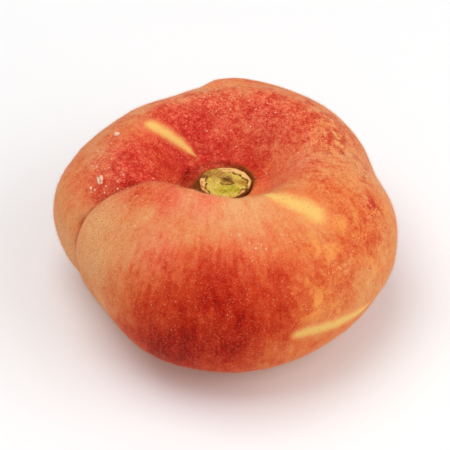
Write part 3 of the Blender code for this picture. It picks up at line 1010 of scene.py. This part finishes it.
def make_scar():
    """The stub's torn end, turned round the stalk's axis: rows go out over the top and back underneath.

    The top is a low dome of uneven wood that leans down to the back. It carries the crack and its collar,
    the splits, the sunk ring and faint rays, which are a product of waves round the axis.
    """
    along, share, height = scar_rows()
    turn = 2.0 * np.pi * np.arange(SCAR_TURNS) / SCAR_TURNS
    share, turn = np.meshgrid(share, turn, indexing="ij")
    flat_x, flat_y = share * np.cos(turn), share * np.sin(turn)
    crack, collar = scar_crack(share, turn)
    splits = scar_splits(share, turn)
    ring = pit_ring(flat_x, flat_y)
    rays = np.sin(23.0 * turn + 9.0 * share) * np.sin(9.0 * turn + 1.0) * smooth(0.15, 0.6, share)

    crumple = np.stack([flat_x, flat_y, 0.0 * share], axis=-1) * STUB_HALF_WIDTH
    relief = COLLAR_RISE * collar - CRACK_DEPTH * crack - SPLIT_DEPTH * splits - PIT_DEPTH * ring
    relief = relief - SCAR_TILT * smooth(-0.6, 1.0, flat_y) + RAY_HEIGHT * rays
    for step, (length, size) in enumerate(CRUMPLES):
        relief = relief + size * ripple(crumple, length, 31 + step)
    on_top = smooth(TOP_END + 0.04, TOP_END - 0.04, along)[:, None]
    radius = share * (1.0 + rim_sway(turn) * smooth(0.3, 1.0, share))
    middle = stub_centre()
    grid = np.stack(
        [
            middle[0] + STUB_HALF_WIDTH * radius * np.cos(turn),
            middle[1] + STUB_HALF_DEPTH * radius * np.sin(turn),
            middle[2] + height[:, None] + relief * on_top,
        ],
        axis=-1,
    )

    # The rounded rim and the side are painted dark brown, and the edge of the top paler brown: painted shade
    # where the stub sits down in its cavity
    side = smooth(TOP_END - 0.02, TOP_END + 0.02, along)[:, None] + 0.0 * turn
    edge = 0.55 * smooth(0.95, 1.0, share)
    spots = [
        amount * bump(np.hypot(flat_x - right, flat_y - back), 0.0, reach)
        for right, back, reach, amount in WOOD_SPOTS
    ]
    fields = {
        "tone": wood_tone(flat_x, flat_y) + 0.05 * rays,
        "brown": np.maximum.reduce([crack * 0.78, splits * 0.55, ring * 0.78, side, edge] + spots),
        "collar": collar * on_top,
    }
    for name, field in fields.items():
        fields[name] = np.append(field.ravel(), [field[0].mean(), field[-1].mean()])
    faces = closed_faces(SCAR_RINGS, SCAR_TURNS)
    add_piece("stalk_scar", with_poles(grid), faces, scar_finish(), ("stem_stub",), fields)


def three_corners(side, other):
    """Three directions square to a strand or hair, a third of a turn apart, from two that are."""
    turn = 2.0 * np.pi * np.arange(3)[:, None] / 3.0
    return np.cos(turn) * side[:, None] + np.sin(turn) * other[:, None]


def make_fibres():
    """Torn strands on the back of the scar: each a bent, bowed line inside a triangle that thins out."""
    draw = np.random.default_rng(23)
    turn = draw.normal(2.0, 0.8, FIBRES)
    share = draw.uniform(0.15, 0.72, FIBRES)
    middle = stub_centre()
    foot = np.stack(
        [
            middle[0] + STUB_HALF_WIDTH * share * np.cos(turn),
            middle[1] + STUB_HALF_DEPTH * share * np.sin(turn),
            np.full(FIBRES, middle[2] + STUB_RISE - FIBRE_ROOT),
        ],
        axis=-1,
    )
    heading = np.stack([-np.sin(turn), np.cos(turn), draw.uniform(0.15, 0.5, FIBRES)], axis=-1)
    heading[:, :2] = heading[:, :2] * draw.choice([-1.0, 1.0], (FIBRES, 1))
    length = draw.uniform(0.5, 1.4, FIBRES) * MM
    curl = draw.normal(0.0, 0.35, (FIBRES, 3)) * length[:, None]

    steps = np.linspace(0.0, 1.0, FIBRE_STEPS)[:, None]
    bow = np.array([0.0, 0.0, FIBRE_BOW]) * steps * (1.0 - steps)
    line = foot[:, None] + heading[:, None] * length[:, None, None] * steps + curl[:, None] * steps**2 + bow
    side = np.cross(heading, [0.0, 0.0, 1.0])
    side = side / np.linalg.norm(side, axis=-1, keepdims=True)
    upright = np.cross(side, heading)
    upright = upright / np.linalg.norm(upright, axis=-1, keepdims=True)
    thick = FIBRE_HALF_WIDTH * (1.0 - FIBRE_TAPER * steps[:, None])
    points = line[:, :, None] + three_corners(side, upright)[:, None] * thick

    walls = [
        [3 * step + a, 3 * step + b, 3 * step + 3 + b, 3 * step + 3 + a]
        for step in range(FIBRE_STEPS - 1)
        for a, b in ((0, 1), (1, 2), (2, 0))
    ]
    last = 3 * (FIBRE_STEPS - 1)
    shape = walls + [[2, 1, 0], [last, last + 1, last + 2]]
    starts = range(0, 3 * FIBRE_STEPS * FIBRES, 3 * FIBRE_STEPS)
    faces = [[start + corner for corner in face] for start in starts for face in shape]
    straw = plain_finish("torn_fibre", (222, 176, 96), Roughness=0.8)
    add_piece("stalk_fibres", points.reshape(-1, 3), faces, straw)


def spread(points, faces, count, seed):
    """Seeded points spread evenly over a surface, by the size of its triangles, with their normals."""
    draw = np.random.default_rng(seed)
    quads = np.array([face for face in faces if len(face) == 4])
    corners = points[np.concatenate([quads[:, [0, 1, 2]], quads[:, [0, 2, 3]]])]
    cross = np.cross(corners[:, 1] - corners[:, 0], corners[:, 2] - corners[:, 0])
    size = np.linalg.norm(cross, axis=1)
    chosen = draw.choice(len(corners), count, p=size / size.sum())
    first, second = draw.uniform(size=(2, count))
    over = first + second > 1.0
    first, second = np.where(over, 1.0 - first, first), np.where(over, 1.0 - second, second)
    start, left, right = (corners[chosen, corner] for corner in range(3))
    spots = start + first[:, None] * (left - start) + second[:, None] * (right - start)
    return spots, cross[chosen] / size[chosen, None]


def side_frames(normals, draw):
    """Two directions square to each normal and to each other, turned by a seeded angle."""
    loose = draw.normal(size=normals.shape)
    side = np.cross(normals, loose)
    side = side / np.linalg.norm(side, axis=1, keepdims=True)
    return side, np.cross(normals, side)


def make_down(points, faces):
    """The down: each hair is a closed spike of four triangles that leans away from the skin's normal."""
    cream = plain_finish("down_hair", (244, 174, 110), Roughness=0.9)
    for number in range(DOWN_PIECES):
        draw = np.random.default_rng(100 + number)
        feet, normals = spread(points, faces, HAIRS_A_PIECE, 200 + number)
        side, other = side_frames(normals, draw)
        length = draw.uniform(*HAIR_LENGTH, len(feet))
        lean = draw.uniform(*HAIR_LEAN, len(feet))
        tips = feet + (normals + side * lean[:, None]) * (length / np.hypot(1.0, lean))[:, None]
        kept = (tips[:, 2] > HAIR_LOWEST_TIP) & (feet[:, 2] > HAIR_LOWEST_FOOT)
        feet, normals, side, other, tips = (part[kept] for part in (feet, normals, side, other, tips))

        roots = (feet - normals * HAIR_ROOT)[:, None] + three_corners(side, other) * HAIR_HALF_WIDTH
        hairs = np.concatenate([roots, tips[:, None]], axis=1)
        shape = np.array([[0, 1, 3], [1, 2, 3], [2, 0, 3], [2, 1, 0]])
        hair_faces = (4 * np.arange(len(hairs))[:, None, None] + shape).reshape(-1, 3)
        add_piece(f"down_{number + 1}", hairs.reshape(-1, 3), hair_faces.tolist(), cream)


def unit_ball():
    """Points and faces of a ball of radius 1: rings by sine and cosine of the tilt, and two poles."""
    tilt = np.pi * np.arange(1, BALL_RINGS + 1) / (BALL_RINGS + 1)
    turn = 2.0 * np.pi * np.arange(BALL_TURNS) / BALL_TURNS
    tilt, turn = np.meshgrid(tilt, turn, indexing="ij")
    rings = np.stack([np.sin(tilt) * np.cos(turn), np.sin(tilt) * np.sin(turn), np.cos(tilt)], axis=-1)
    points = np.concatenate([rings.reshape(-1, 3), [[0.0, 0.0, 1.0], [0.0, 0.0, -1.0]]])
    return points, closed_faces(BALL_RINGS, BALL_TURNS)


def make_dew(points, faces):
    """Drops of water: flat balls sunk into the skin by a third, gathered in seeded groups.

    The long ones have run a little, so they lie about along the slope towards the front.
    """
    draw = np.random.default_rng(41)
    spots, normals = spread(points, faces, DEW_CHOICES, 42)
    chosen, radii, stretch = [], [], []
    for azimuth, polar, reach, count, largest, longest in DEW:
        near = bump(far_from(spots, place(azimuth, polar)), 0.0, reach)
        chosen.append(draw.choice(len(spots), count, replace=False, p=near / near.sum()))
        radii.append(largest * draw.uniform(0.4, 1.0, count))
        stretch.append(longest * draw.uniform(0.7, 1.0, count))
    chosen, radii, stretch = (np.concatenate(parts) for parts in (chosen, radii, stretch))
    spots, normals = spots[chosen], normals[chosen]
    heading = np.stack([draw.normal(-0.3, 0.25, len(spots)), -np.ones(len(spots)), 0.0 * radii], axis=-1)
    other = np.cross(normals, heading)
    other = other / np.linalg.norm(other, axis=1, keepdims=True)
    side = np.cross(other, normals)

    ball, shape = unit_ball()
    drops = (
        ball[None, :, 0, None] * (side * stretch[:, None])[:, None]
        + ball[None, :, 1, None] * other[:, None]
        + ball[None, :, 2, None] * DROP_HEIGHT * normals[:, None]
    )
    drops = spots[:, None] + drops * radii[:, None, None] + (normals * DROP_LIFT * radii[:, None])[:, None]
    starts = range(0, len(ball) * len(spots), len(ball))
    drop_faces = [[start + corner for corner in face] for start in starts for face in shape]
    # The drops' pale pink-white colour, with little transmission, is a painted highlight that stands in for
    # their glints
    water = plain_finish("dew_water_painted_glint", (255, 202, 172), Roughness=0.10, IOR=1.33, Transmission_Weight=0.15)
    add_piece("dew_drops", drops.reshape(-1, 3), drop_faces, water)


def add_light(name, where, size, power):
    """A square white light that faces the fruit."""
    light = bpy.data.lights.new(name, "AREA")
    light.size = size
    light.energy = power
    lamp = bpy.data.objects.new(name, light)
    lamp.location = where
    lamp.rotation_euler = (Vector(CAMERA_TARGET) - Vector(where)).to_track_quat("-Z", "Y").to_euler()
    bpy.context.scene.collection.objects.link(lamp)


def make_floor():
    """A plain, pale and square floor."""
    corners = [(-FLOOR_HALF, -FLOOR_HALF, 0.0), (FLOOR_HALF, -FLOOR_HALF, 0.0)]
    corners += [(FLOOR_HALF, FLOOR_HALF, 0.0), (-FLOOR_HALF, FLOOR_HALF, 0.0)]
    mesh = bpy.data.meshes.new("floor")
    mesh.from_pydata(corners, [], [(0, 1, 2, 3)])
    mesh.materials.append(plain_finish("floor_white", (246, 246, 246), Roughness=0.9))
    floor = bpy.data.objects.new("floor", mesh)
    bpy.context.scene.collection.objects.link(floor)


def make_lights():
    """Soft white light from all round, and the key and fill lights."""
    world = bpy.data.worlds.new("studio")
    world.use_nodes = True
    background = world.node_tree.nodes["Background"]
    background.inputs["Color"].default_value = (1.0, 1.0, 1.0, 1.0)
    background.inputs["Strength"].default_value = WORLD_STRENGTH
    bpy.context.scene.world = world
    add_light("key", *KEY)
    add_light("fill", *FILL)
    bpy.context.scene.view_settings.view_transform = "Standard"


def make_camera():
    """The camera at the photograph's angle, with its lens worked out from its distance and frame width."""
    rise = np.radians(CAMERA_ELEVATION)
    lens = bpy.data.cameras.new("camera")
    lens.sensor_width = SENSOR
    lens.lens = SENSOR * CAMERA_DISTANCE / FRAME_WIDTH
    camera = bpy.data.objects.new("camera", lens)
    camera.location = Vector(CAMERA_TARGET) + CAMERA_DISTANCE * Vector((0.0, -np.cos(rise), np.sin(rise)))
    camera.rotation_euler = (np.pi / 2.0 - rise, 0.0, 0.0)
    bpy.context.scene.collection.objects.link(camera)
    bpy.context.scene.camera = camera


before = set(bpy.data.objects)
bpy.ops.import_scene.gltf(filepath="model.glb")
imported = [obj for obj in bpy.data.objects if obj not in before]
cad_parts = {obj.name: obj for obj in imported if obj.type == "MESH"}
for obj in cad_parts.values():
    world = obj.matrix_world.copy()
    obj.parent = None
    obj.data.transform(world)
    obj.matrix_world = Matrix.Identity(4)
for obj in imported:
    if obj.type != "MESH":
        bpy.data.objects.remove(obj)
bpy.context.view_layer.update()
make_floor()
make_lights()
make_camera()
skin_points, skin_faces = make_skin()
make_scar()
make_fibres()
make_down(skin_points, skin_faces)
make_dew(skin_points, skin_faces)
